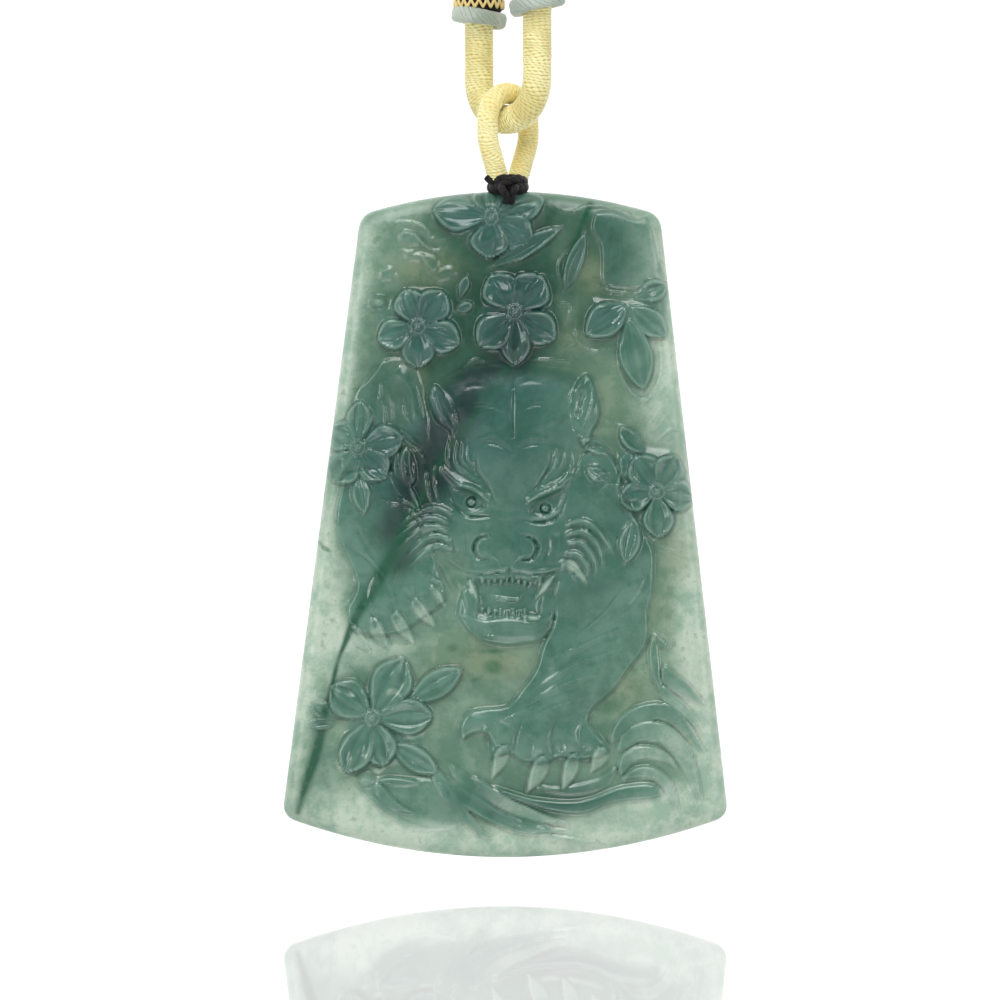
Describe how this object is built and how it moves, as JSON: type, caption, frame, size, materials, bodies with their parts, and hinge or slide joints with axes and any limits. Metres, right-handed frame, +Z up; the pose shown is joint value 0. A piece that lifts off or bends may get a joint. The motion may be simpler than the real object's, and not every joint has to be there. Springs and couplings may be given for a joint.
{
  "type": "carved jade pendant necklace",
  "caption": "Trapezoid green jade plaque carved with a tiger and blossoms, hung by a black tie and thread-wrapped loops from a whole neck cord.",
  "frame": {"origin": "where the necklace hangs, on the underside of the knot at the nape", "axes": "+Z up along the hanging necklace, front of the carved plaque towards -Y, +X to the right of a person looking at the front"},
  "size_m": [0.1254, 0.0102, 0.298],
  "materials": {
    "jade": "polished, slightly see-through",
    "black_cord": "fine twisted cord",
    "yellow_thread": "silky wound thread",
    "grey_green_cord": "silky wound thread",
    "black_gold_band": "black thread with gold zigzag",
    "neck_cord": "fine round braid"
  },
  "bodies": {
    "necklace": {"nape_knot": "grey_green_cord", "neck_cord_left": "neck_cord", "neck_cord_right": "neck_cord", "band_left": "black_gold_band", "band_right": "black_gold_band", "collar_left": "grey_green_cord", "collar_right": "grey_green_cord", "big_loop": "yellow_thread"},
    "pendant": {"small_loop": "yellow_thread", "tie_cord": "black_cord", "jade_plaque": "jade"}
  },
  "joints": [
    {"name": "pendant_swing", "type": "hinge", "parent": "necklace", "child": "pendant", "pos_m": [0, 0, -0.2255], "axis": [0.7071, -0.7071, 0], "range_deg": [-90, 90]}
  ]
}
